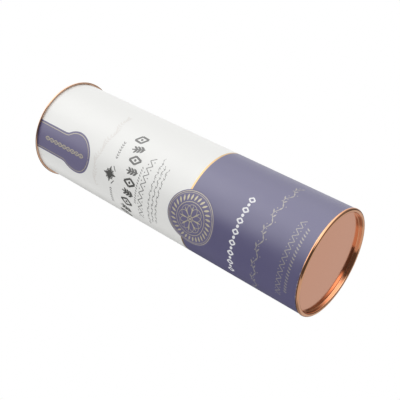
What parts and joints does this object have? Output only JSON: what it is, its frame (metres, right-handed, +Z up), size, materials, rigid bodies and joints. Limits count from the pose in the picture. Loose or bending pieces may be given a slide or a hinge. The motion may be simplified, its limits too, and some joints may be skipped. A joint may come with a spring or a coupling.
{
  "type": "cylindrical gift tube box",
  "caption": "Tall cylindrical gift tube for a bottle: printed board wall, recessed tinplate base with a rounded rim, and a tinplate plug lid with a rolled curl that pulls straight off.",
  "frame": {"origin": "centre of the base, on the plane of the rim the tube stands on", "axes": "+Z up along the tube's axis from the base to the lid; the front of the print faces -Y; +X to the right of the front"},
  "size_m": [0.0992, 0.0992, 0.3103],
  "materials": {
    "kraft_liner": "uncoated kraft paper",
    "greyboard": "raw rolled greyboard",
    "printed_paper": "matt laminated print, white above and lavender below",
    "copper_tinplate": "copper-coloured lacquered tinplate, satin panel and bright rim",
    "foam": "soft closed-cell foam, matt"
  },
  "bodies": {
    "tube": {"inner_liner": "kraft_liner", "inner_ply": "greyboard", "outer_ply": "greyboard", "printed_wrap": "printed_paper", "base_end": "copper_tinplate", "base_pad": "foam"},
    "lid": {"lid_shell": "copper_tinplate", "lid_pad": "foam"}
  },
  "joints": [
    {"name": "lid_lift", "type": "slide", "parent": "tube", "child": "lid", "axis": [0, 0, 1], "range_m": [0, 0.05]}
  ]
}
